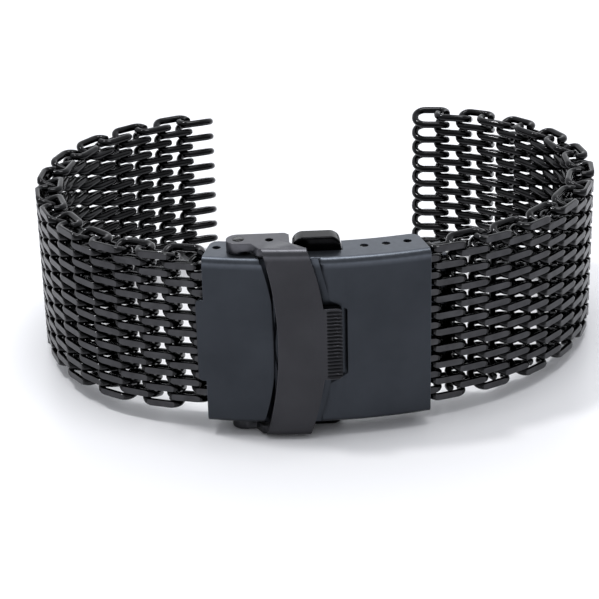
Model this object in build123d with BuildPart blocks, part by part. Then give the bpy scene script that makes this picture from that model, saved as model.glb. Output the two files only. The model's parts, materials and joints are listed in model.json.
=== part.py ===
from build123d import *

import os
from math import cos, degrees, hypot, pi, radians, sin

# Shark mesh bracelet, closed. The clasp's cover faces -Y, the band curls round behind it, +Z is up.
# Lengths are millimetres, angles degrees. The origin is under the middle of the bracelet's box.

# Mesh wire and its flat spiral coils, one coil to a column
wire = 0.97
link_length = 5.55
mesh_thickness = 4.0
column_pitch = 3.3
turn_pitch = 2.3
corner_radius = 1.0
ground_depth = 0.26
full_turns = 9
short_turns = 8

# Turn from each column to the next, from the clasp outwards to the watch
left_turns = (1, 4, 6.5, 9.5, 11, 9.5, 8.5, 7, 6, 6.5, 7, 7.5, 7.5, 8, 8, 8.5, 8.5, 8, 6.5, 5.5, 4)
right_turns = (4.5, 5, 6, 6.5, 7, 7, 7, 7.5, 7.5, 8, 8, 8.5, 8.5, 8.5, 9, 9, 9, 9.5, 9.5, 9.5)

# Clasp cover, a bent sheet with two flanges. Places on it are arc lengths from its middle, at the bars.
cover_radius = 57.0
cover_height = 22.6
cover_depth = 5.4
sheet = 0.8
cover_reach = 13.4
bend_radius = 0.75
flange_corner = 1.2
lip_reach = 0.95
lip_height = 11.1
lip_corner = 0.6
bar_depth = 3.4
hinge_place = 6.0
adjust_place = 8.75
adjust_pitch = 2.75
strap_place = 12.3
hole_radius = 0.525

# Bed for the lock, pressed into the cover
bed_depth = 0.5
bed_gap = 0.3
bed_right_end = 0.1
bed_knee = 1.45
bed_knee_height = 11.4
bed_right_step = 3.6
bed_step_height = 8.8

# Flip lock: strap, ribbed thumb tab, ears and boss
lock_thickness = 0.95
lock_gap = 0.23
lock_bend = 0.9
strap_left_end = 6.8
strap_left_middle = 5.05
strap_right_end = 1.35
strap_right_middle = 0.9
tab_reach = 2.9
tab_height = 9.7
tab_corner = 0.5
rib_count = 19
rib_depth = 0.25
rib_length = 1.9
ear_thickness = 1.1
ear_gap = 0.4
ear_right = 3.25
ear_knee = 1.95
ear_round = 1.1
ear_snap_x = 5.7
ear_snap_y = 3.1
pin_place = 9.45
pin_depth = 2.8
pin_radius = 0.75
pin_head_radius = 1.0
pin_head = 0.35
boss_radius = 1.5
boss_gap = 0.1
running = 0.03

# Push buttons, their springs and the rib between them
button_x = 0.1
button_depth = 4.0
crown_width = 6.0
crown_deep = 2.5
crown_height = 1.7
crown_round = 1.4
crown_edge = 0.3
notch_gap = 0.12
head_height = 1.0
head_spread = 0.7
arm_width = 0.8
arm_gap = 1.1
bar_height = 1.0
arm_deep = 1.0
spring_radius = 0.5
spring_wire = 0.22
spring_pitch = 0.64
spring_turns = 4
rib_width = 2.4
rib_height = 1.1
seat_gap = 0.05

# Catch on the inner blade that the buttons hold
catch_width = 1.4
catch_wall = 0.8
catch_lip = 0.55
catch_lip_deep = 0.6
catch_gap = 0.06

# Blades, one behind the other on the wrist side, and the pin between them
blade = 0.8
blade_gap = 0.1
mesh_clear = 0.15
outer_blade_height = 15.0
inner_blade_height = 17.6
knuckle_radius = 0.95
knuckle_height = 7.0
knuckle_clear = 0.15
fold_place = 18.6
fold_depth = 6.65
fold_pin_radius = 0.5
neck_half = 0.3
wide_end = 4.0

# Spring bars: tube, two tips, spring
tube_radius = 0.6
tube_bore = 0.48
tip_radius = 0.45
tip_inside = 5.9
tip_recess = 0.1
bar_spring_radius = 0.32
bar_spring_wire = 0.14
bar_spring_pitch = 0.6
bar_offset = 1.1
strap_ear = 0.6
strap_ear_gap = 0.12
strap_ear_radius = 1.25

# An overrun for cuts
over = 1.0

# Worked out from the sizes above
half_wire = wire / 2
half_length = (link_length - wire) / 2
half_thickness = (mesh_thickness - wire) / 2
bar_half = half_length - corner_radius
bar_line = cover_radius - bar_depth
cover_low = crown_height
middle = cover_height / 2
full_low = middle - full_turns * turn_pitch / 2
short_low = middle - short_turns * turn_pitch / 2
short_top = middle + short_turns * turn_pitch / 2 + half_wire
lock_back = bed_depth - lock_gap
lock_face = lock_back - lock_thickness
outer_blade_near = bar_depth + mesh_thickness / 2 + mesh_clear
outer_blade_far = outer_blade_near + blade
inner_blade_near = outer_blade_far + blade_gap
inner_blade_far = inner_blade_near + blade


def on_cover(depth, place):
    """Point in the cover's plan, at a depth under its face and an arc length from its middle."""
    turn = place / bar_line
    reach = cover_radius - depth
    return reach * sin(turn), cover_radius - reach * cos(turn)


def columns(place, side, turns):
    """Plan place and heading of each column of one half, from the clasp outwards."""
    x, y = on_cover(bar_depth, side * place)
    heading = side * place / bar_line
    row = [(x, y, degrees(heading))]
    for turn in turns:
        x += side * column_pitch / 2 * cos(heading)
        y += side * column_pitch / 2 * sin(heading)
        heading += side * radians(turn)
        x += side * column_pitch / 2 * cos(heading)
        y += side * column_pitch / 2 * sin(heading)
        row.append((x, y, degrees(heading)))
    return row


def reaches(row, towards):
    """How far each column of a row reaches towards a plan direction."""
    round_corner = corner_radius + half_wire
    result = []
    for x, y, heading in row:
        along = cos(radians(towards - heading))
        across = sin(radians(towards - heading))
        flat = ground_depth * max(0, -across)
        reach = abs(along) * (link_length / 2 - round_corner) + round_corner - flat
        reach += abs(across) * (mesh_thickness / 2 - round_corner)
        result.append(x * cos(radians(towards)) + y * sin(radians(towards)) + reach)
    return result


cover_turn = degrees(column_pitch / bar_line)
left = columns(strap_place + bar_offset, -1, left_turns)
right = columns(adjust_place + bar_offset, 1, (cover_turn, cover_turn) + right_turns)
mid_x = (max(reaches(right, 0)) - max(reaches(left, 180))) / 2
mid_y = (max(reaches(left + right, 90)) + lock_face) / 2

# The clasp's plan lies on the deck, at the cover's lower edge. The front looks at its face.
deck = Plane(origin=(-mid_x, -mid_y, cover_low), x_dir=(1, 0, 0), z_dir=(0, 0, 1))
front = Plane(origin=(-mid_x, -mid_y, cover_low), x_dir=(1, 0, 0), z_dir=(0, -1, 0))


def arc_band(near, far, start, end, level):
    """Sketch in plan between two depths under the cover's face, from one arc length to another."""
    stops = (start, (start + end) / 2, end)
    with BuildSketch(deck.offset(level)) as band:
        with BuildLine():
            face = ThreePointArc(*(on_cover(near, stop) for stop in stops))
            back = ThreePointArc(*(on_cover(far, stop) for stop in stops))
            Line(face @ 0, back @ 0)
            Line(face @ 1, back @ 1)
        make_face()
    return band.sketch


def disc(point, radius, level):
    """Sketch of a circle round a plan point at a level of the clasp."""
    with BuildSketch(deck.offset(level)) as circle:
        with Locations(point):
            Circle(radius)
    return circle.sketch


def block(low_x, high_x, near, far, level):
    """Sketch of a rectangle in the clasp's plan."""
    with BuildSketch(deck.offset(level)) as rectangle:
        with Locations(((low_x + high_x) / 2, (near + far) / 2)):
            Rectangle(high_x - low_x, far - near)
    return rectangle.sketch


def save(part, name):
    """Label a finished piece and write it as its own file."""
    part.label = name
    export_step(part, f"parts/{name}.step")


def least_gap(edges, thickness, apart):
    """Least gap between stretches of one tube whose centre lines lie well apart along it."""
    points = []
    walked = 0
    for edge in edges:
        steps = max(2, round(edge.length / (thickness / 2)))
        for step in range(steps):
            points.append((walked + edge.length * step / steps, edge @ (step / steps)))
        walked += edge.length
    gaps = []
    for index, (along, point) in enumerate(points):
        gaps += [(point - other).length for far, other in points[index + 1:] if far - along > apart]
    return min(gaps) - thickness


def coil_centre_line(side, turns, low):
    """Centre line of one mesh coil: level bars joined by ends that rise half a pitch each.

    A side of 1 begins with an outer bar, -1 with an inner one.
    """
    rise = turn_pitch / 2
    slant = hypot(2 * half_thickness, rise)
    quarter = corner_radius * sin(pi / 4)
    crook = corner_radius - quarter

    def bar(flank, level):
        return Line(
            (-flank * side * bar_half, flank * half_thickness * side, level),
            (flank * side * bar_half, flank * half_thickness * side, level),
        )

    def end(flank, level):
        """A quarter arc, a slanted straight and a quarter arc, in one tilted plane."""
        start = Vector(flank * side * bar_half, flank * side * half_thickness, level)
        out = Vector(flank * side, 0, 0)
        up = Vector(0, -2 * flank * side * half_thickness, rise) / slant
        low_end = start + (out + up) * corner_radius
        high_end = start + out * corner_radius + up * (slant - corner_radius)
        finish = start + up * slant
        return (
            ThreePointArc(start, start + out * quarter + up * crook, low_end),
            Line(low_end, high_end),
            ThreePointArc(high_end, finish + out * quarter - up * crook, finish),
        )

    def hook(flank, level):
        """Half of a level end, from the coil's middle line to the corner of a bar."""
        corner = Vector(flank * side * bar_half, -side * half_thickness, level)
        out = Vector(flank * side, 0, 0)
        back = Vector(0, side, 0)
        tip = corner + out * corner_radius + back * half_thickness
        bend = corner + (out + back) * corner_radius
        return tip, bend, corner + out * quarter + back * crook, corner

    top = low + turns * turn_pitch
    first = hook(1, low)
    last = hook(-1, top)
    edges = [Line(first[0], first[1]), ThreePointArc(first[1], first[2], first[3])]
    for turn in range(turns):
        level = low + turn * turn_pitch
        edges += [bar(-1, level), *end(-1, level)]
        edges += [bar(1, level + rise), *end(1, level + rise)]
    edges += [bar(-1, top), ThreePointArc(last[3], last[2], last[1]), Line(last[1], last[0])]
    return edges


def mesh_coil(side, turns, low):
    """One mesh coil round its own middle, ground flat along its outer bars."""
    with BuildPart() as coil:
        with BuildLine() as centre:
            edges = coil_centre_line(side, turns, low)
        with BuildSketch(Plane(origin=centre.line @ 0, z_dir=centre.line % 0)):
            Circle(half_wire)
        sweep()
        with Locations((0, -mesh_thickness / 2, middle)):
            Box(link_length, 2 * ground_depth, cover_height, mode=Mode.SUBTRACT)
    print("coil of", turns, "turns, least gap to itself",
          round(least_gap(edges, wire, turn_pitch + 2 * wire), 2))
    return coil.part


def spring(radius, thickness, pitch, turns, low):
    """A round coil spring on the Z axis, of tilted half circles."""
    with BuildPart() as coil:
        with BuildLine() as centre:
            edges = []
            for half in range(2 * turns):
                way = 1 if half % 2 == 0 else -1
                level = low + half * pitch / 2
                edges.append(ThreePointArc(
                    (way * radius, 0, level),
                    (0, way * hypot(radius, pitch / 4), level + pitch / 4),
                    (-way * radius, 0, level + pitch / 2),
                ))
        with BuildSketch(Plane(origin=centre.line @ 0, z_dir=centre.line % 0)):
            Circle(thickness / 2)
        sweep()
    return coil.part


os.makedirs("parts", exist_ok=True)

# Mesh coils. Neighbours start half a pitch apart, so that each hooks into the next.
outer_first = mesh_coil(1, full_turns, full_low)
inner_first = mesh_coil(-1, full_turns, full_low)
short_outer_first = mesh_coil(1, short_turns, short_low)
short_inner_first = mesh_coil(-1, short_turns, short_low)


def column_plane(spot):
    """Plane of a column: its x along the band, its z up."""
    x, y, heading = spot
    return Plane(
        origin=deck.from_local_coords((x, y, 0)),
        x_dir=(cos(radians(heading)), sin(radians(heading)), 0),
        z_dir=(0, 0, 1),
    )


for count, spot in enumerate(left):
    if count == 0:
        master = short_inner_first
    else:
        master = inner_first if count % 2 else outer_first
    with BuildPart(column_plane(spot)) as left_link:
        add(master)
    save(left_link.part, f"left_link_{len(left) - count:02d}")

for count, spot in enumerate(right[2:]):
    with BuildPart(column_plane(spot)) as right_link:
        add(inner_first if count % 2 else outer_first)
    save(right_link.part, f"right_link_{len(right) - 2 - count:02d}")

with BuildPart() as right_end_links:
    with Locations(column_plane(right[0])):
        add(short_inner_first)
    with Locations(column_plane(right[1])):
        add(short_outer_first)
save(right_end_links.part, "right_end_links")

# Places of the bars, the lock's pins and the fold pin in the clasp's plan
hinge_bar = on_cover(bar_depth, hinge_place)
adjust_bar = on_cover(bar_depth, adjust_place)
free_hole = on_cover(bar_depth, adjust_place + adjust_pitch)
strap_bar = on_cover(bar_depth, -strap_place)
lock_pin = on_cover(pin_depth, -pin_place)
fold_axis = on_cover(fold_depth, fold_place)

# Outline of the bed, seen from the front: the strap's with a gap, stepped out round the tab
with BuildSketch(front) as bed_outline:
    with BuildLine():
        bed_left = ThreePointArc(
            (-strap_left_end - bed_gap, 0),
            (-strap_left_middle - bed_gap, middle),
            (-strap_left_end - bed_gap, cover_height),
        )
        Polyline(
            bed_left @ 0,
            (bed_right_end, 0),
            (bed_knee, middle - bed_knee_height / 2),
            (bed_right_step, middle - bed_step_height / 2),
            (bed_right_step, middle + bed_step_height / 2),
            (bed_knee, middle + bed_knee_height / 2),
            (bed_right_end, cover_height),
            bed_left @ 1,
        )
    make_face()

with BuildPart() as bed:
    extrude(arc_band(-over, bed_depth, -cover_reach, cover_reach, -over),
            amount=cover_height + 2 * over)
    extrude(bed_outline.sketch, amount=cover_depth, both=True, mode=Mode.INTERSECT)

with BuildPart() as clasp_cover:
    extrude(arc_band(0, cover_depth, -cover_reach, cover_reach, 0), amount=cover_height)
    # The long outer edges are bends of the sheet
    fillet(
        clasp_cover.edges().filter_by(GeomType.CIRCLE).sort_by(Axis.Y)[:2],
        radius=bend_radius,
    )
    # Hollow between the flanges, open at both ends and towards the wrist
    extrude(
        arc_band(sheet, cover_depth + over, -cover_reach - over, cover_reach + over, sheet),
        amount=cover_height - 2 * sheet,
        mode=Mode.SUBTRACT,
    )
    # Lip past the left end, over the middle of the band
    extrude(
        arc_band(0, sheet, -cover_reach - lip_reach, -cover_reach + over, middle - lip_height / 2),
        amount=lip_height,
    )
    lip_end = clasp_cover.faces().sort_by(Axis.X)[0].edges().sort_by(Axis.Z)
    fillet((lip_end[0], lip_end[-1]), radius=lip_corner)
    # Rear corners of the flanges
    fillet(clasp_cover.edges().filter_by(Axis.Z).sort_by(Axis.Y)[-4:], radius=flange_corner)
    # Thickening behind the bed, then the bed itself
    extrude(
        arc_band(sheet / 2, sheet + bed_depth, -strap_left_end - over, bed_right_step + over, sheet),
        amount=cover_height - 2 * sheet,
    )
    add(bed.part, mode=Mode.SUBTRACT)
    # Holes for the bars and the lock's pins
    for point, radius in (
        (hinge_bar, hole_radius), (adjust_bar, hole_radius), (free_hole, hole_radius),
        (strap_bar, hole_radius), (lock_pin, pin_radius + running),
    ):
        extrude(disc(point, radius, -over), amount=cover_height + 2 * over, mode=Mode.SUBTRACT)
    # Notches for the buttons' stems, open towards the wrist
    extrude(
        block(
            button_x - crown_width / 2 - notch_gap, button_x + crown_width / 2 + notch_gap,
            button_depth - crown_deep / 2 - notch_gap, cover_depth + over, -over,
        ),
        amount=cover_height + 2 * over,
        mode=Mode.SUBTRACT,
    )
    # Rib that both button springs stand on
    extrude(
        block(button_x - rib_width / 2, button_x + rib_width / 2, sheet,
              button_depth + spring_radius + spring_wire, middle - rib_height / 2),
        amount=rib_height,
    )
save(clasp_cover.part, "clasp_cover")

# Outline of the lock's strap and tab, seen from the front, between the ears' outer faces
lock_low = -ear_gap - ear_thickness
lock_high = cover_height + ear_gap + ear_thickness
with BuildSketch(front) as strap_outline:
    with BuildLine():
        strap_left = ThreePointArc(
            (-strap_left_end, lock_low), (-strap_left_middle, middle), (-strap_left_end, lock_high)
        )
        strap_right = ThreePointArc(
            (-strap_right_end, lock_low), (strap_right_middle, middle), (-strap_right_end, lock_high)
        )
        Line(strap_left @ 0, strap_right @ 0)
        Line(strap_left @ 1, strap_right @ 1)
    make_face()
    with Locations((tab_reach / 2, middle)):
        RectangleRounded(tab_reach, tab_height, tab_corner)


def ear(level):
    """Sketch of one ear of the lock in plan, from its boss to the strap's face."""
    with BuildSketch(deck.offset(level)) as plate:
        with BuildLine():
            back = lock_pin[1] + boss_radius
            Polyline(
                (lock_pin[0], back),
                (-ear_right - ear_round / 2, back),
                (-ear_right, back - ear_round / 2),
                (-ear_right, ear_knee),
                on_cover(lock_face + lock_bend, -strap_right_end),
                on_cover(lock_face + lock_bend, -strap_left_end),
                (lock_pin[0] + boss_radius, lock_pin[1] - boss_radius),
                (lock_pin[0], lock_pin[1] - boss_radius),
                close=True,
            )
        make_face()
        with Locations(lock_pin):
            Circle(boss_radius)
        with Locations((-ear_snap_x, ear_snap_y)):
            Circle(hole_radius, mode=Mode.SUBTRACT)
    return plate.sketch


with BuildPart() as flip_lock:
    extrude(
        arc_band(lock_face, lock_back, -cover_reach, cover_reach, lock_low),
        amount=lock_high - lock_low,
    )
    fillet(flip_lock.edges().filter_by(GeomType.CIRCLE).sort_by(Axis.Y)[:2], radius=lock_bend)
    extrude(strap_outline.sketch, amount=cover_depth, both=True, mode=Mode.INTERSECT)
    # Ribs on the thumb tab, cut as grooves along the band
    rib_pitch = tab_height / (rib_count + 1)
    for rib in range(rib_count):
        level = middle + (rib - (rib_count - 1) / 2) * rib_pitch
        with BuildSketch(deck.offset(level - rib_pitch / 4)):
            with Locations((tab_reach - rib_length / 2 + over / 2, lock_face)):
                Rectangle(rib_length + over, 2 * rib_depth)
        extrude(amount=rib_pitch / 2, mode=Mode.SUBTRACT)
    for level, boss_level in (
        (lock_low, -boss_gap), (lock_high - ear_thickness, cover_height + boss_gap)
    ):
        extrude(ear(level), amount=ear_thickness)
        high = max(level + ear_thickness, boss_level)
        extrude(disc(lock_pin, boss_radius, min(level, boss_level)), amount=high - min(level, boss_level))
    extrude(disc(lock_pin, pin_radius + running, lock_low - over),
            amount=lock_high - lock_low + 2 * over, mode=Mode.SUBTRACT)
save(flip_lock.part, "flip_lock")

with BuildPart() as flip_lock_pins:
    pin_length = sheet + ear_gap + ear_thickness
    for low, head in ((lock_low, sheet), (cover_height - sheet, cover_height - sheet - pin_head)):
        extrude(disc(lock_pin, pin_radius, low), amount=pin_length)
        extrude(disc(lock_pin, pin_head_radius, head), amount=pin_head)
save(flip_lock_pins.part, "flip_lock_pins")

# Levels above the clasp's middle for the upper button, its spring and the catch
spring_foot = rib_height / 2 + seat_gap
spring_length = spring_turns * spring_pitch + spring_wire
bar_low = spring_foot + spring_length + seat_gap
bar_high = bar_low + bar_height
lip_low = bar_high + catch_gap
wall_low = lip_low + catch_lip
wall_high = wall_low + catch_wall
head_high = cover_height / 2 - sheet - seat_gap
head_low = head_high - head_height
crown_near = button_depth - crown_deep / 2
crown_far = button_depth + crown_deep / 2

with BuildPart() as top_button:
    # Crown, through the flange's notch
    extrude(
        block(button_x - crown_width / 2, button_x + crown_width / 2, crown_near, crown_far,
              middle + head_low),
        amount=cover_height / 2 + crown_height - head_low,
    )
    fillet(top_button.faces().sort_by(Axis.Z)[-1].edges().filter_by(Axis.Y), radius=crown_round)
    fillet(top_button.faces().sort_by(Axis.Z)[-1].edges(), radius=crown_edge)
    # Head that stops it under the flange
    extrude(
        block(button_x - crown_width / 2 - head_spread, button_x + crown_width / 2 + head_spread,
              crown_near, crown_far, middle + head_low),
        amount=head_height,
    )
    # Two arms down to the bar that sits behind the catch
    arm_low = catch_width / 2 + arm_gap
    arm_near = button_depth - arm_deep / 2
    for way in (-1, 1):
        inside = button_x + way * arm_low
        outside = button_x + way * (arm_low + arm_width)
        extrude(
            block(min(inside, outside), max(inside, outside), arm_near, arm_near + arm_deep,
                  middle + bar_low),
            amount=head_low - bar_low,
        )
    extrude(
        block(button_x - arm_low - arm_width, button_x + arm_low + arm_width, arm_near,
              arm_near + arm_deep, middle + bar_low),
        amount=bar_height,
    )
save(top_button.part, "top_button")

with BuildPart() as bottom_button:
    mirror(top_button.part, about=deck.offset(middle))
save(bottom_button.part, "bottom_button")

button_spring = spring(spring_radius, spring_wire, spring_pitch, spring_turns,
                       middle + spring_foot + spring_wire / 2)
with BuildPart(deck) as top_button_spring:
    with Locations((button_x, button_depth)):
        add(button_spring)
save(top_button_spring.part, "top_button_spring")

with BuildPart() as bottom_button_spring:
    mirror(top_button_spring.part, about=deck.offset(middle))
save(bottom_button_spring.part, "bottom_button_spring")

# Levels of the fold hinge: the inner blade's knuckle in the middle, the outer blade's on both sides
split = knuckle_height / 2
cut_back = knuckle_radius + knuckle_clear

with BuildPart() as outer_blade:
    low = middle - outer_blade_height / 2
    extrude(
        arc_band(outer_blade_near, outer_blade_far, hinge_place - knuckle_radius, fold_place, low),
        amount=outer_blade_height,
    )
    # Neck and knuckle round the bar in the cover
    extrude(
        block(hinge_bar[0] - knuckle_radius, hinge_bar[0] + neck_half, hinge_bar[1],
              hinge_bar[1] + mesh_thickness / 2 + mesh_clear + blade / 2, low),
        amount=outer_blade_height,
    )
    extrude(disc(hinge_bar, knuckle_radius, low), amount=outer_blade_height)
    extrude(disc(hinge_bar, tube_radius + running, low), amount=outer_blade_height, mode=Mode.SUBTRACT)
    # Outer knuckles of the fold hinge
    extrude(disc(fold_axis, knuckle_radius, low), amount=outer_blade_height)
    extrude(disc(fold_axis, cut_back, middle - split - knuckle_clear),
            amount=knuckle_height + 2 * knuckle_clear, mode=Mode.SUBTRACT)
    extrude(disc(fold_axis, fold_pin_radius + running, low), amount=outer_blade_height,
            mode=Mode.SUBTRACT)
save(outer_blade.part, "outer_blade")

strap_half = short_top - middle
ear_low = strap_half + strap_ear_gap
ear_high = ear_low + strap_ear
with BuildPart() as inner_blade:
    low = middle - inner_blade_height / 2
    extrude(
        arc_band(inner_blade_near, inner_blade_far, -strap_place - strap_ear_radius, fold_place, low),
        amount=inner_blade_height,
    )
    # Outside the middle knuckle the blade stops short of the fold
    for start in (low, middle + split):
        extrude(disc(fold_axis, cut_back, start), amount=inner_blade_height / 2 - split,
                mode=Mode.SUBTRACT)
    extrude(disc(fold_axis, knuckle_radius, middle - split), amount=knuckle_height)
    extrude(disc(fold_axis, fold_pin_radius + running, middle - split), amount=knuckle_height,
            mode=Mode.SUBTRACT)
    # Wide end with two ears for the left half's spring bar
    extrude(
        arc_band(inner_blade_near, inner_blade_far, -strap_place - strap_ear_radius,
                 -strap_place + wide_end, middle - ear_high),
        amount=2 * ear_high,
    )
    for start in (middle - ear_high, middle + ear_low):
        extrude(arc_band(bar_depth, inner_blade_far, -strap_place - strap_ear_radius,
                         -strap_place + strap_ear_radius, start), amount=strap_ear)
        extrude(disc(strap_bar, strap_ear_radius, start), amount=strap_ear)
    extrude(disc(strap_bar, tip_radius + running, 0), amount=cover_height, mode=Mode.SUBTRACT)
    # Catch walls, with lips that point to the middle
    lip_near = button_depth - arm_deep / 2 - catch_gap - catch_lip_deep
    catch_low_x = button_x - catch_width / 2
    catch_high_x = button_x + catch_width / 2
    for wall, lip in ((wall_low, lip_low), (-wall_high, -wall_low)):
        extrude(
            block(catch_low_x, catch_high_x, lip_near, inner_blade_far - blade / 2, middle + wall),
            amount=catch_wall,
        )
        extrude(
            block(catch_low_x, catch_high_x, lip_near, lip_near + catch_lip_deep, middle + lip),
            amount=catch_lip,
        )
save(inner_blade.part, "inner_blade")

with BuildPart() as fold_pin:
    extrude(disc(fold_axis, fold_pin_radius, middle - outer_blade_height / 2), amount=outer_blade_height)
save(fold_pin.part, "fold_pin")

# Spring bars. The cover's two reach into its flanges, the third into the inner blade's ears.
cover_tip_end = cover_height / 2 - tip_recess
strap_tip_end = ear_high - running


def bar_tubes(points):
    """Tube of a spring bar at each point."""
    with BuildPart() as tubes:
        for point in points:
            extrude(disc(point, tube_radius, middle - strap_half), amount=2 * strap_half)
            extrude(disc(point, tube_bore, middle - strap_half), amount=2 * strap_half,
                    mode=Mode.SUBTRACT)
    return tubes.part


def bar_tips(points, end):
    """Two tips of a spring bar at each point, up to an end above and below the middle."""
    with BuildPart() as tips:
        for point in points:
            start = strap_half - tip_inside
            for level in (middle - end, middle + start):
                extrude(disc(point, tip_radius, level), amount=end - start)
    return tips.part


def bar_springs(points):
    """Spring between the tips of a spring bar at each point."""
    turns = int((2 * (strap_half - tip_inside) - bar_spring_wire) / bar_spring_pitch)
    coil = spring(bar_spring_radius, bar_spring_wire, bar_spring_pitch, turns,
                  middle - turns * bar_spring_pitch / 2)
    with BuildPart(deck) as springs:
        with Locations(*points):
            add(coil)
    return springs.part


cover_bars = (hinge_bar, adjust_bar)
save(bar_tubes(cover_bars), "cover_bar_tubes")
save(bar_tips(cover_bars, cover_tip_end), "cover_bar_tips")
save(bar_springs(cover_bars), "cover_bar_springs")
save(bar_tubes([strap_bar]), "strap_bar_tube")
save(bar_tips([strap_bar], strap_tip_end), "strap_bar_tips")
save(bar_springs([strap_bar]), "strap_bar_spring")
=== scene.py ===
"""Looks of a black shark mesh bracelet with a fold-over clasp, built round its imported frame."""

import json
import math

import bmesh
import bpy
import numpy as np
from mathutils import Matrix, Vector


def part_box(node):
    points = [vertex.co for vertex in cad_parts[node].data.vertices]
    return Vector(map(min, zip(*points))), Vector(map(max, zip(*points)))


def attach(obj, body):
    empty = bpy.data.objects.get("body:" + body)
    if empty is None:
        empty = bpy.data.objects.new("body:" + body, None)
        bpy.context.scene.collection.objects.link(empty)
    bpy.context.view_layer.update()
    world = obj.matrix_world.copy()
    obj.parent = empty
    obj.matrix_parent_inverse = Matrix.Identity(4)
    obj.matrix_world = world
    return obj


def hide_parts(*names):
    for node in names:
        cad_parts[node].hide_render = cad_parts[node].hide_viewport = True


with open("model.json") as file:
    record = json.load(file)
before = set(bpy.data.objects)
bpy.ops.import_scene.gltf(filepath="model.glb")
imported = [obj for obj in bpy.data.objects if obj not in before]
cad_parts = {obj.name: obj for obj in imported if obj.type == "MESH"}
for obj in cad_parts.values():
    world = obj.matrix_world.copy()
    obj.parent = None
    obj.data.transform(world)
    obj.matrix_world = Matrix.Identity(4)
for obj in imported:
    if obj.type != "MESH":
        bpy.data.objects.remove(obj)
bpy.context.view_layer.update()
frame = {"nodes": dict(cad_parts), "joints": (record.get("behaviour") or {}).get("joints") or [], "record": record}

bl_info = {
    "name": "Shark Mesh Bracelet",
    "version": (1, 0, 0),
    "blender": (4, 5, 0),
    "location": "3D View > Sidebar > Bracelet",
    "description": "Builds the mesh, the clasp and the stage of a shark mesh bracelet",
    "category": "Object",
}

MM = 0.001
# The wave texture draws this many bands in one unit at a scale of 1
WAVE_BANDS = 20
# Depth of every surface mark on the metal
MARK_DEPTH = 0.01 * MM
# Points on a quarter bend, and round a wire: on its ground flat and on the rest of it
BEND_POINTS = 8
FLAT_POINTS = 5
ROUND_POINTS = 16
# Least half angle of the flat's share of a ring, where the wire isn't ground
LEAST_FLAT = math.radians(24)
# How far the rim of a cut end is drawn back, as a share of its round
RIM_SHARE = 0.6
# Edges sharper than these stay sharp, on wires and on the clasp's pieces
SHARP_WIRE = math.radians(26)
SHARP_CLASP = math.radians(33)
# Points nearer to each other, or to the grinding plane, count as one
MERGE = 1e-6
ON_PLANE = 1e-7


def linear(hex_colour):
    """Linear colour of an sRGB hex value."""
    values = [int(hex_colour[i:i + 2], 16) / 255 for i in (1, 3, 5)]
    return tuple(v / 12.92 if v <= 0.04045 else ((v + 0.055) / 1.055) ** 2.4 for v in values)


def size(name, text, millimetres):
    """A length that a user can change."""
    return bpy.props.FloatProperty(name=name, description=text, default=millimetres * MM,
                                   unit="LENGTH", precision=5)


def colour(name, text, hex_colour):
    """A colour that a user can change."""
    return bpy.props.FloatVectorProperty(name=name, description=text, default=linear(hex_colour),
                                         subtype="COLOR", min=0, max=1)


class BraceletSizes(bpy.types.PropertyGroup):
    """Sizes of the mesh and of the clasp's edges"""

    wire: size("Wire", "Thickness of the mesh wire", 0.97)
    link_length: size("Link length", "Outer length of a coil along the band", 5.55)
    mesh_thickness: size("Mesh thickness", "Outer thickness of the mesh before grinding", 4.0)
    column_pitch: size("Column pitch", "Distance from one column to the next", 3.3)
    turn_pitch: size("Turn pitch", "Height of one turn of a coil", 2.3)
    corner_radius: size("Corner radius", "Bend radius of the wire's centre line", 1.1)
    free_radius: size("Free end radius", "The same radius at the band's two open ends", 1.5)
    ground_depth: size("Ground depth", "How much is ground off the outer wires", 0.26)
    end_round: size("End round", "Rounding of the cut wire ends", 0.12)
    edge_break: size("Edge break", "Radius of the clasp's broken edges", 0.16)
    fine_break: size("Fine edge break", "Radius of broken edges on the smallest pieces", 0.05)
    full_turns: bpy.props.IntProperty(name="Full turns", description="Turns of a whole coil", default=9)
    short_turns: bpy.props.IntProperty(name="Short turns", description="Turns of a coil in the cover",
                                       default=8)
    outward_bend: bpy.props.FloatProperty(name="Outward bend", description="How far a link bends back",
                                          default=math.radians(8), subtype="ANGLE")


class BraceletColours(bpy.types.PropertyGroup):
    """Colours of the finishes"""

    wire: colour("Wire", "Gloss black coat on the mesh wire", "#2b2b2c")
    ground: colour("Ground wire", "Coat over the ground outer wires", "#444446")
    sheet: colour("Sheet", "Satin black coat on the cover", "#373a3f")
    lock: colour("Lock", "Satin black coat on the flip lock", "#3a3a3d")
    button: colour("Button", "Gloss black coat on the buttons", "#121213")
    blade: colour("Blade", "Brushed black coat on the blades", "#3f4146")
    steel: colour("Steel", "Bare steel of pins, bars and springs", "#b9bab8")
    floor: colour("Floor", "Pale floor", "#fafafd")


def add_node(tree, kind, settings=None, links=None):
    """Add one node, with values for its sockets or fields and links into its sockets."""
    node = tree.nodes.new(kind)
    for key, value in (settings or {}).items():
        if isinstance(key, str) and hasattr(node, key):
            setattr(node, key, value)
        else:
            node.inputs[key].default_value = value
    for key, source in (links or {}).items():
        tree.links.new(source, node.inputs[key])
    return node


def new_material(name):
    """An empty node material and its tree."""
    material = bpy.data.materials.new(name)
    material.use_nodes = True
    material.node_tree.nodes.clear()
    return material, material.node_tree


def finish_material(tree, tone, metallic, roughness, normal):
    """Close a material with one Principled shader; its tone and roughness are sockets or values."""
    settings, links = {"Metallic": metallic}, {"Normal": normal}
    for key, value in (("Base Color", tone), ("Roughness", roughness)):
        (links if isinstance(value, bpy.types.NodeSocket) else settings)[key] = value
    shader = add_node(tree, "ShaderNodeBsdfPrincipled", settings, links)
    add_node(tree, "ShaderNodeOutputMaterial", None, {"Surface": shader.outputs["BSDF"]})


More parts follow.
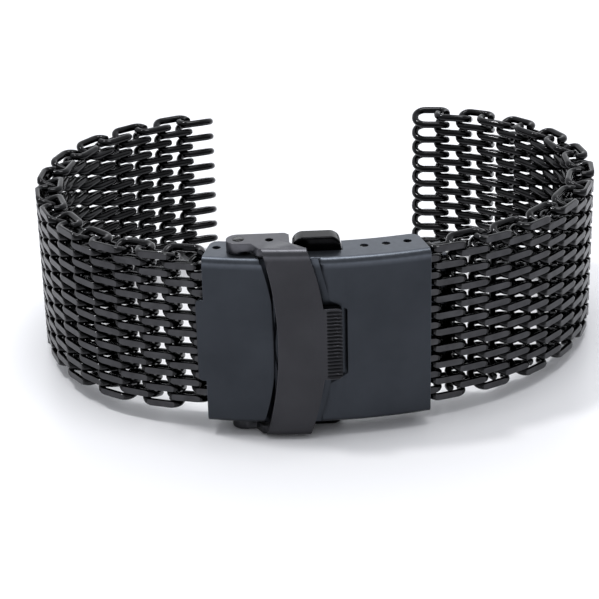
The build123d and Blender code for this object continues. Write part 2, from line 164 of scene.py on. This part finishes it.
def tones(tree, factor, base, darker, lighter):
    """A colour that runs from a darker to a lighter tone of a base with a factor."""
    ramp = add_node(tree, "ShaderNodeValToRGB", None, {"Fac": factor})
    ramp.color_ramp.elements[0].color = (*(c * darker for c in base), 1)
    ramp.color_ramp.elements[1].color = (*(min(1, c * lighter) for c in base), 1)
    ramp.color_ramp.elements[0].position = 0.3
    ramp.color_ramp.elements[1].position = 0.7
    return ramp.outputs["Color"]


def spread(tree, factor, low, high):
    """A number that runs from low to high with a factor."""
    node = add_node(tree, "ShaderNodeMapRange", {"To Min": low, "To Max": high}, {"Value": factor})
    return node.outputs["Result"]


def broken_edges(tree, radius):
    """A normal that rounds a piece's edges, and a mask that grows towards them for rubbed coat."""
    rounded = add_node(tree, "ShaderNodeBevel", {"samples": 6, "Radius": radius})
    plain = add_node(tree, "ShaderNodeNewGeometry")
    match = add_node(tree, "ShaderNodeVectorMath", {"operation": "DOT_PRODUCT"},
                     {0: rounded.outputs["Normal"], 1: plain.outputs["Normal"]})
    mask = add_node(tree, "ShaderNodeMapRange", {"From Min": 0.99, "From Max": 0.8},
                    {"Value": match.outputs["Value"]})
    return rounded.outputs["Normal"], mask.outputs["Result"]


def lightened_by_mask(tree, mask, plain, share, lighter):
    """A colour that turns to a lighter even tone by a share of the mask."""
    amount = add_node(tree, "ShaderNodeMath", {"operation": "MULTIPLY", 1: share}, {0: mask})
    mix = add_node(tree, "ShaderNodeMix", {"data_type": "RGBA", "clamp_factor": True},
                   {0: amount.outputs["Value"], 6: plain})
    mix.inputs[7].default_value = (*lighter, 1)
    return mix.outputs[2]


def gloss_black_wire(base):
    """Drawn stainless wire under a gloss black vapour coat.

    The coat mirrors the room darkly. Faint marks of the drawing die run along the wire.
    """
    material, tree = new_material("Gloss black coated steel wire")
    place = add_node(tree, "ShaderNodeUVMap", {"uv_map": "wire"})
    # Die marks are 0.06 mm wide and some 2 mm long, a little coarser than the real ones
    along = add_node(tree, "ShaderNodeMapping", {"Scale": (1 / (2.0 * MM), 1 / (0.06 * MM), 1)},
                     {"Vector": place.outputs["UV"]})
    marks = add_node(tree, "ShaderNodeTexNoise", {"Scale": 1.0, "Detail": 2.0},
                     {"Vector": along.outputs["Vector"]})
    body = add_node(tree, "ShaderNodeTexCoord")
    # The coat's tone drifts over about 3 mm
    cloud = add_node(tree, "ShaderNodeTexNoise", {"Scale": 1 / (3.0 * MM), "Detail": 3.0},
                     {"Vector": body.outputs["Object"]})
    bump = add_node(tree, "ShaderNodeBump", {"Strength": 0.08, "Distance": MARK_DEPTH},
                    {"Height": marks.outputs["Fac"]})
    finish_material(tree, tones(tree, cloud.outputs["Fac"], base, 0.75, 1.3), 1.0,
                    spread(tree, cloud.outputs["Fac"], 0.07, 0.15), bump.outputs["Normal"])
    return material


def ground_black_wire(base):
    """The wire's outer side, ground flat before coating: satin, with fine lines along it."""
    material, tree = new_material("Ground satin black coated steel")
    place = add_node(tree, "ShaderNodeUVMap", {"uv_map": "wire"})
    # Grinding lines 0.04 mm wide and about 1.5 mm long
    along = add_node(tree, "ShaderNodeMapping", {"Scale": (1 / (1.5 * MM), 1 / (0.04 * MM), 1)},
                     {"Vector": place.outputs["UV"]})
    lines = add_node(tree, "ShaderNodeTexNoise", {"Scale": 1.0, "Detail": 3.0},
                     {"Vector": along.outputs["Vector"]})
    body = add_node(tree, "ShaderNodeTexCoord")
    cloud = add_node(tree, "ShaderNodeTexNoise", {"Scale": 1 / (1.6 * MM), "Detail": 3.0},
                     {"Vector": body.outputs["Object"]})
    bump = add_node(tree, "ShaderNodeBump", {"Strength": 0.25, "Distance": MARK_DEPTH},
                    {"Height": lines.outputs["Fac"]})
    finish_material(tree, tones(tree, cloud.outputs["Fac"], base, 0.8, 1.2), 1.0,
                    spread(tree, lines.outputs["Fac"], 0.28, 0.42), bump.outputs["Normal"])
    return material


def satin_black_sheet(name, base, low, high, edge, box):
    """Stainless sheet, bead blasted and coated black: an even satin that turns pale at a slant.

    The coat is rubbed thinner on the edges, which show the steel's tone a little. The bends and flanges at the top
    of the piece's box are painted lighter in patches, as a painted highlight.
    """
    material, tree = new_material(name)
    normal, mask = broken_edges(tree, edge)
    body = add_node(tree, "ShaderNodeTexCoord")
    # Blasting pits 0.12 mm apart, twice the real ones, so that they show
    pits = add_node(tree, "ShaderNodeTexNoise", {"Scale": 1 / (0.12 * MM), "Detail": 2.0},
                    {"Vector": body.outputs["Object"]})
    cloud = add_node(tree, "ShaderNodeTexNoise", {"Scale": 1 / (7.0 * MM), "Detail": 4.0},
                     {"Vector": body.outputs["Object"]})
    bump = add_node(tree, "ShaderNodeBump", {"Strength": 0.12, "Distance": MARK_DEPTH},
                    {"Height": pits.outputs["Fac"], "Normal": normal})
    tone = tones(tree, cloud.outputs["Fac"], base, 0.88, 1.14)
    # Patches of the painted highlight on the top bends and flanges are about 0.7 mm apart
    spots = add_node(tree, "ShaderNodeTexNoise", {"Scale": 1 / (0.7 * MM), "Detail": 3.0},
                     {"Vector": body.outputs["Object"]})
    place = add_node(tree, "ShaderNodeSeparateXYZ", None, {0: body.outputs["Object"]})
    # Painted highlight: a band at the top of the piece's box, on its bends and flanges, is lightened where the
    # overhead lamp falls
    top = box[1][2]
    bend = add_node(tree, "ShaderNodeMapRange",
                    {"interpolation_type": "SMOOTHSTEP", "From Min": top - 1.5 * MM,
                     "From Max": top - 0.6 * MM}, {"Value": place.outputs["Z"]})
    patchy_highlight = add_node(tree, "ShaderNodeMath", {"operation": "MULTIPLY"},
                      {0: bend.outputs["Result"], 1: spread(tree, spots.outputs["Fac"], 0.6, 1.3)})
    both = add_node(tree, "ShaderNodeMath", {"operation": "MAXIMUM"},
                    {0: patchy_highlight.outputs["Value"], 1: mask})
    # The edges are lightened as worn coat, and the top band as a painted highlight
    lightened_tone = lightened_by_mask(tree, both.outputs["Value"], tone, 0.5, [min(1, value * 4) for value in base])
    finish_material(tree, lightened_tone, 1.0, spread(tree, cloud.outputs["Fac"], low, high),
                    bump.outputs["Normal"])
    return material


def gloss_black_button(name, base, edge):
    """Turned and polished steel under a gloss black coat: a dark mirror with soft hairlines."""
    material, tree = new_material(name)
    normal, _ = broken_edges(tree, edge)
    body = add_node(tree, "ShaderNodeTexCoord")
    smear = add_node(tree, "ShaderNodeTexNoise", {"Scale": 1 / (1.2 * MM), "Detail": 4.0},
                     {"Vector": body.outputs["Object"]})
    bump = add_node(tree, "ShaderNodeBump", {"Strength": 0.05, "Distance": MARK_DEPTH},
                    {"Height": smear.outputs["Fac"], "Normal": normal})
    finish_material(tree, tones(tree, smear.outputs["Fac"], base, 0.8, 1.3), 1.0,
                    spread(tree, smear.outputs["Fac"], 0.12, 0.24), bump.outputs["Normal"])
    return material


def brushed_black_blade(base, edge):
    """Stainless blade brushed along its length and coated black: long fine lines in a satin sheen."""
    material, tree = new_material("Brushed black coated steel")
    normal, mask = broken_edges(tree, edge)
    body = add_node(tree, "ShaderNodeTexCoord")
    # Brush lines 0.08 mm high and about 6 mm long, along X
    along = add_node(tree, "ShaderNodeMapping",
                     {"Scale": (1 / (6.0 * MM), 1 / (3.0 * MM), 1 / (0.08 * MM))},
                     {"Vector": body.outputs["Object"]})
    lines = add_node(tree, "ShaderNodeTexNoise", {"Scale": 1.0, "Detail": 3.0},
                     {"Vector": along.outputs["Vector"]})
    bump = add_node(tree, "ShaderNodeBump", {"Strength": 0.3, "Distance": MARK_DEPTH},
                    {"Height": lines.outputs["Fac"], "Normal": normal})
    tone = tones(tree, lines.outputs["Fac"], base, 0.85, 1.2)
    lightened_tone = lightened_by_mask(tree, mask, tone, 0.4, [min(1, value * 3) for value in base])
    finish_material(tree, lightened_tone, 1.0, spread(tree, lines.outputs["Fac"], 0.26, 0.4),
                    bump.outputs["Normal"])
    return material


def turned_bare_steel(base, edge):
    """Bare turned stainless: bright, with fine tool rings."""
    material, tree = new_material("Turned bare steel")
    normal, _ = broken_edges(tree, edge)
    body = add_node(tree, "ShaderNodeTexCoord")
    # Tool rings 0.05 mm apart along the pin
    rings = add_node(tree, "ShaderNodeTexWave",
                     {"bands_direction": "Z", "Scale": 1 / (0.05 * MM) / WAVE_BANDS, "Distortion": 0.5},
                     {"Vector": body.outputs["Object"]})
    cloud = add_node(tree, "ShaderNodeTexNoise", {"Scale": 1 / (0.8 * MM), "Detail": 3.0},
                     {"Vector": body.outputs["Object"]})
    bump = add_node(tree, "ShaderNodeBump", {"Strength": 0.1, "Distance": MARK_DEPTH},
                    {"Height": rings.outputs["Fac"], "Normal": normal})
    finish_material(tree, tones(tree, cloud.outputs["Fac"], base, 0.9, 1.08), 1.0,
                    spread(tree, cloud.outputs["Fac"], 0.2, 0.34), bump.outputs["Normal"])
    return material


def coil_centre_line(side, turns, low, free, sizes):
    """Points and directions of a coil's centre line, and how far along the wire each point is.

    A bar runs level across the coil at half its thickness. Each end is a quarter circle, a straight
    and a quarter circle in one tilted plane, and rises half a pitch: its points are the bar's corner
    plus sin(a) times the corner radius outwards and 1 - cos(a) times it along the slant. The radius
    is larger where no coil hooks in, at the end given by the sign of free.
    """
    half_long = (sizes.link_length - sizes.wire) / 2
    half_thick = (sizes.mesh_thickness - sizes.wire) / 2
    rise = sizes.turn_pitch / 2
    slant = math.hypot(2 * half_thick, rise)
    angles = np.linspace(0, math.pi / 2, BEND_POINTS)
    points, ways = [], []

    def bend(way):
        """Corner radius at the coil's end on that side."""
        return min(sizes.free_radius, half_thick) if way == free else sizes.corner_radius

    def quarter(corner, out, along, order, radius):
        """Quarter circle from a bar's corner to the end's straight, or back with order -1."""
        sweep = angles[::order]
        across, up = np.sin(sweep), 1 - np.cos(sweep)
        points.append(corner + radius * (np.outer(across, out) + np.outer(up, along)))
        ways.append(order * (np.outer(np.cos(sweep), out) + np.outer(across, along)))

    def end(flank, level):
        """A whole end: a quarter circle, the slanted straight and a quarter circle back."""
        out = np.array([flank * side, 0, 0])
        along = np.array([0, -2 * flank * side * half_thick, rise]) / slant
        radius = bend(flank * side)
        corner = np.array([flank * side * (half_long - radius), flank * side * half_thick, level])
        quarter(corner, out, along, 1, radius)
        points.append((corner + slant * along) + radius * (
            np.outer(np.sin(angles[::-1]), out) - np.outer(1 - np.cos(angles[::-1]), along)))
        ways.append(-np.outer(np.cos(angles[::-1]), out) + np.outer(np.sin(angles[::-1]), along))

    def hook(flank, level, order):
        """A cut end: a quarter circle and a short straight back, or the reverse with order -1."""
        out = np.array([flank * side, 0, 0])
        back = np.array([0, side, 0])
        radius = bend(flank * side)
        corner = np.array([flank * side * (half_long - radius), -side * half_thick, level])
        tip = corner + radius * out + half_thick * back
        straight = np.array([tip, tip - back * (half_thick - radius) * 0.5])
        if order < 0:
            points.append(straight)
            ways.append(np.array([-back, -back]))
            quarter(corner, out, back, -1, radius)
        else:
            quarter(corner, out, back, 1, radius)
            points.append(straight[::-1])
            ways.append(np.array([back, back]))

    hook(1, low, -1)
    for turn in range(turns):
        level = low + turn * sizes.turn_pitch
        end(-1, level)
        end(1, level + rise)
    hook(-1, low + turns * sizes.turn_pitch, 1)
    points = np.vstack(points)
    ways = np.vstack(ways)
    steps = np.linalg.norm(np.diff(points, axis=0), axis=1)
    return points, ways, np.concatenate([[0], np.cumsum(steps)])


def coil_surface(side, turns, low, free, sizes):
    """Rings of a coil: a circle of the wire's radius round each point of the centre line.

    Each circle lies square to the line. Its angle starts at the side that faces out of the band, and
    two of its points sit where the grinding plane cuts it, so that the flat has crisp edges. What
    lies beyond the grinding plane is moved back onto it.
    """
    points, ways, along = coil_centre_line(side, turns, low, free, sizes)
    ways /= np.linalg.norm(ways, axis=1)[:, None]
    radius = sizes.wire / 2
    plane = -(sizes.mesh_thickness / 2 - sizes.ground_depth)
    outward = np.array([0.0, -1.0, 0.0])
    first = outward - (ways @ outward)[:, None] * ways
    # A cut end points straight out or in, so its rings take their start from the nearest bend
    slanted = np.flatnonzero(np.linalg.norm(first, axis=1) > 1e-3)
    first = first[np.clip(np.arange(len(points)), slanted[0], slanted[-1])]
    first -= np.sum(first * ways, axis=1)[:, None] * ways
    first /= np.linalg.norm(first, axis=1)[:, None]
    second = np.cross(ways, first)
    # Angle from the outward side to the edge of the flat
    lean = np.clip((points[:, 1] - plane) / (radius * -first[:, 1] + 1e-12), -1, 1)
    edge = np.maximum(np.arccos(lean), LEAST_FLAT)
    flat_part = np.linspace(-1, 1, FLAT_POINTS)
    round_part = np.linspace(0, 1, ROUND_POINTS)[1:-1]
    angles = np.hstack([
        edge[:, None] * flat_part,
        edge[:, None] + (2 * math.pi - 2 * edge[:, None]) * round_part,
    ])
    rings = points[:, None] + radius * (
        np.cos(angles)[..., None] * first[:, None] + np.sin(angles)[..., None] * second[:, None])
    # The two cut ends are drawn in to a small round
    round_off = sizes.end_round
    caps = []
    for index, sign in ((0, -1), (-1, 1)):
        inner = points[index] + (rings[index] - points[index]) * (1 - round_off / radius)
        caps.append(inner[None])
        rings[index] -= sign * ways[index] * round_off * RIM_SHARE
    rings = np.concatenate([caps[0], rings, caps[1]])
    rings[..., 1] = np.maximum(rings[..., 1], plane)
    along = np.concatenate([[along[0] - round_off], along, [along[-1] + round_off]])
    angles = np.concatenate([angles[:1], angles, angles[-1:]])
    return rings, along, angles, plane


def tube_mesh(name, surfaces):
    """One closed mesh of several ringed tubes, with a UV map of lengths along and round the wire.

    The second material goes on the faces that lie in the grinding plane of their own tube.
    """
    vertices, faces, ground, uvs = [], [], [], []
    offset = 0
    for rings, along, angles, on_plane, radius in surfaces:
        count, sides = rings.shape[:2]
        grid = np.arange(count * sides).reshape(count, sides) + offset
        following = np.roll(grid, -1, axis=1)
        quads = np.stack([grid[:-1], following[:-1], following[1:], grid[1:]], axis=-1).reshape(-1, 4)
        turned = np.where(np.arange(sides) == sides - 1, 2 * math.pi, 0)
        near = np.stack([np.broadcast_to(along[:, None], angles.shape), angles * radius], -1)
        far = np.stack([np.broadcast_to(along[:, None], angles.shape),
                        (np.roll(angles, -1, axis=1) + turned) * radius], -1)
        uvs.append(np.stack([near[:-1], far[:-1], far[1:], near[1:]], axis=2).reshape(-1, 2))
        pair = on_plane & np.roll(on_plane, -1, axis=1)
        ground.append((pair[:-1] & pair[1:]).reshape(-1))
        faces.append(quads)
        vertices.append(rings.reshape(-1, 3))
        offset += count * sides
    cap_faces, start = [], 0
    for rings, *_ in surfaces:
        count, sides = rings.shape[:2]
        cap_faces.append(list(range(start + sides - 1, start - 1, -1)))
        cap_faces.append(list(range(start + (count - 1) * sides, start + count * sides)))
        start += count * sides
    mesh = bpy.data.meshes.new(name)
    quads = np.concatenate(faces)
    mesh.from_pydata(np.concatenate(vertices).tolist(), [], quads.tolist() + cap_faces)
    layer = mesh.uv_layers.new(name="wire")
    places = np.zeros((len(mesh.loops), 2))
    places[: len(quads) * 4] = np.concatenate(uvs)
    layer.data.foreach_set("uv", places.ravel())
    slots = np.zeros(len(mesh.polygons), dtype=np.int32)
    slots[: len(quads)] = np.concatenate(ground)
    mesh.polygons.foreach_set("material_index", slots)
    mesh.validate()
    mesh.shade_smooth()
    mesh.set_sharp_from_angle(angle=SHARP_WIRE)
    return mesh


def rest_turn(joint, side, sizes):
    """Turn between two columns at rest: a hinge's outward limit less the outward bend."""
    limit = -joint["range_deg"][0] if side > 0 else joint["range_deg"][1]
    return math.radians(limit) - sizes.outward_bend


def half_columns(side, sizes):
    """Nodes, plan places and headings of one half's columns, from the clasp outwards.

    A column lies midway between its two hinges, along the line that joins them. The first and the
    last one have one hinge, and take their heading from the turn at rest in it.
    """
    word = "right" if side > 0 else "left"
    joints = sorted((joint for joint in frame["joints"] if joint["name"].startswith(f"{word}_hinge_")),
                    key=lambda joint: joint["name"], reverse=True)
    numbers = [int(joint["name"][-2:]) for joint in joints]
    spots = [np.array(joint["pos_m"][:2]) for joint in joints]
    steps = [side * (far - near) for near, far in zip(spots, spots[1:])]
    headings = [math.atan2(step[1], step[0]) for step in steps]
    turns = [side * rest_turn(joint, side, sizes) for joint in joints]
    columns = []
    first = headings[0] - turns[0]
    half = sizes.column_pitch / 2

    def way(heading):
        """Direction of a heading in plan."""
        return np.array([math.cos(heading), math.sin(heading)])

    inner = spots[0] - side * half * way(first)
    columns.append((inner, first))
    if side > 0:
        hinge = inner - half * way(first)
        second = first - turns[0]
        columns.insert(0, (hinge - half * way(second), second))
    for spot, heading in zip(spots, headings):
        columns.append((spot + side * half * way(heading), heading))
    last = headings[-1] + turns[-1]
    columns.append((spots[-1] + side * half * way(last), last))
    return word, numbers, columns


def half_mesh(side, sizes, materials):
    """Make the pieces of one half of the band, one for each of its coils' nodes."""
    word, numbers, columns = half_columns(side, sizes)
    low, high = (np.array(corner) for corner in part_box("clasp_cover"))
    middle = (low[2] + high[2]) / 2
    shorts = len(columns) - len(numbers)
    radius = sizes.wire / 2
    surfaces = []
    for index, (spot, heading) in enumerate(columns):
        short = index < shorts
        turns = sizes.short_turns if short else sizes.full_turns
        # Neighbours start on opposite sides, except where the coils grow by a turn
        first_side = 1 if (index - (not short)) % 2 else -1
        rings, along, angles, plane = coil_surface(
            first_side, turns, middle - turns * sizes.turn_pitch / 2,
            side if index == len(columns) - 1 else 0, sizes)
        on_plane = rings[..., 1] <= plane + ON_PLANE
        cosine, sine = math.cos(heading), math.sin(heading)
        turn = np.array([[cosine, -sine], [sine, cosine]])
        placed = rings.copy()
        placed[..., :2] = rings[..., :2] @ turn.T + spot
        surfaces.append((placed, along, angles, on_plane, radius))
    inner = "right_end_links" if side > 0 else f"left_link_{numbers[0] + 1:02d}"
    groups = [(inner, surfaces[:shorts])]
    for number, surface in zip(numbers, surfaces[shorts:]):
        groups.append((f"{word}_link_{number:02d}", [surface]))
    record_bodies = frame["record"]["behaviour"]["bodies"]
    bodies = {node: body for body, nodes in record_bodies.items() for node in nodes}
    for node, parts in groups:
        mesh = tube_mesh(f"{node}_wire", parts)
        for material in materials:
            mesh.materials.append(material)
        piece = bpy.data.objects.new(f"{node}_wire", mesh)
        bpy.context.collection.objects.link(piece)
        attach(piece, bodies[node])
        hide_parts(node)


def dressed_copy(node, body, material):
    """Copy a node's mesh, join its loose triangles and shade it smooth between its sharp edges."""
    mesh = frame["nodes"][node].data.copy()
    shape = bmesh.new()
    shape.from_mesh(mesh)
    bmesh.ops.remove_doubles(shape, verts=shape.verts, dist=MERGE)
    shape.to_mesh(mesh)
    shape.free()
    mesh.materials.clear()
    mesh.materials.append(material)
    mesh.shade_smooth()
    mesh.set_sharp_from_angle(angle=SHARP_CLASP)
    piece = bpy.data.objects.new(f"{node}_finish", mesh)
    bpy.context.collection.objects.link(piece)
    weighted = piece.modifiers.new("Even shading", "WEIGHTED_NORMAL")
    weighted.keep_sharp = True
    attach(piece, body)
    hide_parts(node)
    return piece


class BRACELET_OT_mesh_halves(bpy.types.Operator):
    """Make both halves of the mesh from interlinked coils"""

    bl_idname = "bracelet.mesh_halves"
    bl_label = "Mesh Halves"

    def execute(self, context):
        sizes, colours = context.scene.bracelet_sizes, context.scene.bracelet_colours
        materials = (gloss_black_wire(colours.wire), ground_black_wire(colours.ground))
        for side in (-1, 1):
            half_mesh(side, sizes, materials)
        return {"FINISHED"}


class BRACELET_OT_clasp_cover(bpy.types.Operator):
    """Finish the clasp's cover"""

    bl_idname = "bracelet.clasp_cover"
    bl_label = "Clasp Cover"

    def execute(self, context):
        sizes, colours = context.scene.bracelet_sizes, context.scene.bracelet_colours
        sheet = satin_black_sheet("Blasted satin black coated sheet", colours.sheet, 0.3, 0.4,
                                  sizes.edge_break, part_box("clasp_cover"))
        dressed_copy("clasp_cover", "cover", sheet)
        return {"FINISHED"}


class BRACELET_OT_flip_lock(bpy.types.Operator):
    """Finish the flip lock"""

    bl_idname = "bracelet.flip_lock"
    bl_label = "Flip Lock"

    def execute(self, context):
        sizes, colours = context.scene.bracelet_sizes, context.scene.bracelet_colours
        sheet = satin_black_sheet("Satin black coated lock", colours.lock, 0.28, 0.38,
                                  sizes.edge_break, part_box("flip_lock"))
        dressed_copy("flip_lock", "flip_lock", sheet)
        return {"FINISHED"}


class BRACELET_OT_push_buttons(bpy.types.Operator):
    """Finish both push buttons"""

    bl_idname = "bracelet.push_buttons"
    bl_label = "Push Buttons"

    def execute(self, context):
        sizes, colours = context.scene.bracelet_sizes, context.scene.bracelet_colours
        gloss = gloss_black_button("Gloss black coated steel", colours.button, sizes.edge_break)
        for node in ("top_button", "bottom_button"):
            dressed_copy(node, node, gloss)
        return {"FINISHED"}


class BRACELET_OT_blades(bpy.types.Operator):
    """Finish the two folding blades"""

    bl_idname = "bracelet.blades"
    bl_label = "Blades"

    def execute(self, context):
        sizes, colours = context.scene.bracelet_sizes, context.scene.bracelet_colours
        brushed = brushed_black_blade(colours.blade, sizes.edge_break)
        for node in ("outer_blade", "inner_blade"):
            dressed_copy(node, node, brushed)
        return {"FINISHED"}


class BRACELET_OT_pins_and_bars(bpy.types.Operator):
    """Finish the pins, spring bars and springs"""

    bl_idname = "bracelet.pins_and_bars"
    bl_label = "Pins and Bars"

    def execute(self, context):
        sizes, colours = context.scene.bracelet_sizes, context.scene.bracelet_colours
        steel = turned_bare_steel(colours.steel, sizes.fine_break)
        black = gloss_black_button("Gloss black pins and painted shade on bar tips", colours.wire, sizes.fine_break)
        # The flip lock's pins are gloss black. The cover's bar tips get the same gloss black as painted shade for
        # their recesses in the flange holes, while the bars' tubes stay bare steel.
        for node, body, material in (
            ("flip_lock_pins", "cover", black), ("cover_bar_tips", "cover", black),
            ("cover_bar_tubes", "cover", steel), ("fold_pin", "outer_blade", steel),
            ("strap_bar_tube", "inner_blade", steel), ("strap_bar_tips", "inner_blade", steel),
        ):
            dressed_copy(node, body, material)
        for node in ("top_button_spring", "bottom_button_spring", "cover_bar_springs",
                     "strap_bar_spring"):
            for holder in frame["nodes"][node].material_slots:
                holder.material = steel
        return {"FINISHED"}


class BRACELET_OT_stage(bpy.types.Operator):
    """Set up the pale floor, the soft lamps and the camera"""

    bl_idname = "bracelet.stage"
    bl_label = "Stage"

    def execute(self, context):
        floor_tone = context.scene.bracelet_colours.floor
        low, high = (np.array(corner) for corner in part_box("bottom_button"))
        rear_low, rear_high = (np.array(corner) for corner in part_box("left_link_01"))
        front_y = (low[1] + high[1]) / 2
        # The bracelet leans back until its rear coils touch the floor
        lean = (rear_low[2] - low[2]) / (rear_high[1] - front_y)
        reach = 3.0
        corners = [(x, y, lean * (y - front_y) + low[2]) for x, y in
                   ((-reach, -reach), (reach, -reach), (reach, reach), (-reach, reach))]
        mesh = bpy.data.meshes.new("floor")
        mesh.from_pydata(corners, [], [(0, 1, 2, 3)])
        floor = bpy.data.objects.new("floor", mesh)
        context.collection.objects.link(floor)
        material, tree = new_material("Pale matt board")
        body = add_node(tree, "ShaderNodeTexCoord")
        grain = add_node(tree, "ShaderNodeTexNoise", {"Scale": 1 / (1.5 * MM), "Detail": 2.0},
                         {"Vector": body.outputs["Object"]})
        bump = add_node(tree, "ShaderNodeBump", {"Strength": 0.02, "Distance": 0.05 * MM},
                        {"Height": grain.outputs["Fac"]})
        finish_material(tree, (*floor_tone, 1), 0.0, 0.3, bump.outputs["Normal"])
        mesh.materials.append(material)
        self.light(context)
        self.camera(context)
        context.scene.view_settings.view_transform = "Standard"
        return {"FINISHED"}

    def light(self, context):
        """A room with a bright window wall behind, dimmer in front, and two lamps overhead."""
        world = bpy.data.worlds.new("Room with a bright rear wall")
        context.scene.world = world
        world.use_nodes = True
        tree = world.node_tree
        tree.nodes.clear()
        way = add_node(tree, "ShaderNodeTexCoord")
        axes = add_node(tree, "ShaderNodeSeparateXYZ", None, {0: way.outputs["Generated"]})
        level = add_node(tree, "ShaderNodeMapRange",
                         {"interpolation_type": "SMOOTHSTEP", "From Min": -0.7, "From Max": 0.8,
                          "To Min": 0.4, "To Max": 1.25}, {"Value": axes.outputs["Y"]})
        room = add_node(tree, "ShaderNodeBackground", {"Color": (0.95, 0.97, 1, 1)},
                        {"Strength": level.outputs["Result"]})
        add_node(tree, "ShaderNodeOutputWorld", None, {"Surface": room.outputs["Background"]})
        for name, place, extent, power in (
            ("Overhead", (0.06, 0.0, 0.62), 0.26, 1.2),
            ("Left glint", (-0.22, 0.06, 0.55), 0.06, 1.0),
        ):
            lamp = bpy.data.lights.new(name, "AREA")
            lamp.shape = "DISK"
            lamp.size = extent
            lamp.energy = power
            thing = bpy.data.objects.new(name, lamp)
            thing.location = place
            thing.rotation_euler = (-Vector(place)).to_track_quat("-Z", "Y").to_euler()
            context.collection.objects.link(thing)

    def camera(self, context):
        """A camera at the photograph's place, which looks down with a slight roll and yaw."""
        camera = bpy.data.cameras.new("Camera")
        camera.sensor_fit = "HORIZONTAL"
        camera.angle = math.radians(16.96)
        camera.clip_start = 0.01
        thing = bpy.data.objects.new("Camera", camera)
        thing.matrix_world = (
            Matrix.Translation(Vector((-11.70, -249.99, 123.24)) * MM)
            @ Matrix.Rotation(math.radians(-2.064), 4, "Z")
            @ Matrix.Rotation(math.radians(90 - 25.09), 4, "X")
            @ Matrix.Rotation(math.radians(-1.389), 4, "Z")
        )
        context.collection.objects.link(thing)
        context.scene.camera = thing


PIECES = (
    BRACELET_OT_stage,
    BRACELET_OT_mesh_halves,
    BRACELET_OT_clasp_cover,
    BRACELET_OT_flip_lock,
    BRACELET_OT_push_buttons,
    BRACELET_OT_blades,
    BRACELET_OT_pins_and_bars,
)


class BRACELET_PT_panel(bpy.types.Panel):
    """Lists the bracelet's pieces, sizes and colours"""

    bl_idname = "BRACELET_PT_panel"
    bl_label = "Bracelet"
    bl_space_type = "VIEW_3D"
    bl_region_type = "UI"
    bl_category = "Bracelet"

    def draw(self, context):
        for piece in PIECES:
            self.layout.operator(piece.bl_idname)
        for group in (context.scene.bracelet_sizes, context.scene.bracelet_colours):
            for name in type(group).__annotations__:
                self.layout.prop(group, name)


CLASSES = (BraceletSizes, BraceletColours, *PIECES, BRACELET_PT_panel)


def register():
    for item in CLASSES:
        bpy.utils.register_class(item)
    bpy.types.Scene.bracelet_sizes = bpy.props.PointerProperty(type=BraceletSizes)
    bpy.types.Scene.bracelet_colours = bpy.props.PointerProperty(type=BraceletColours)


def unregister():
    del bpy.types.Scene.bracelet_colours
    del bpy.types.Scene.bracelet_sizes
    for item in reversed(CLASSES):
        bpy.utils.unregister_class(item)


def main():
    """Build every piece in order."""
    register()
    bpy.ops.bracelet.stage()
    bpy.ops.bracelet.mesh_halves()
    bpy.ops.bracelet.clasp_cover()
    bpy.ops.bracelet.flip_lock()
    bpy.ops.bracelet.push_buttons()
    bpy.ops.bracelet.blades()
    bpy.ops.bracelet.pins_and_bars()


if __name__ == "__main__":
    main()
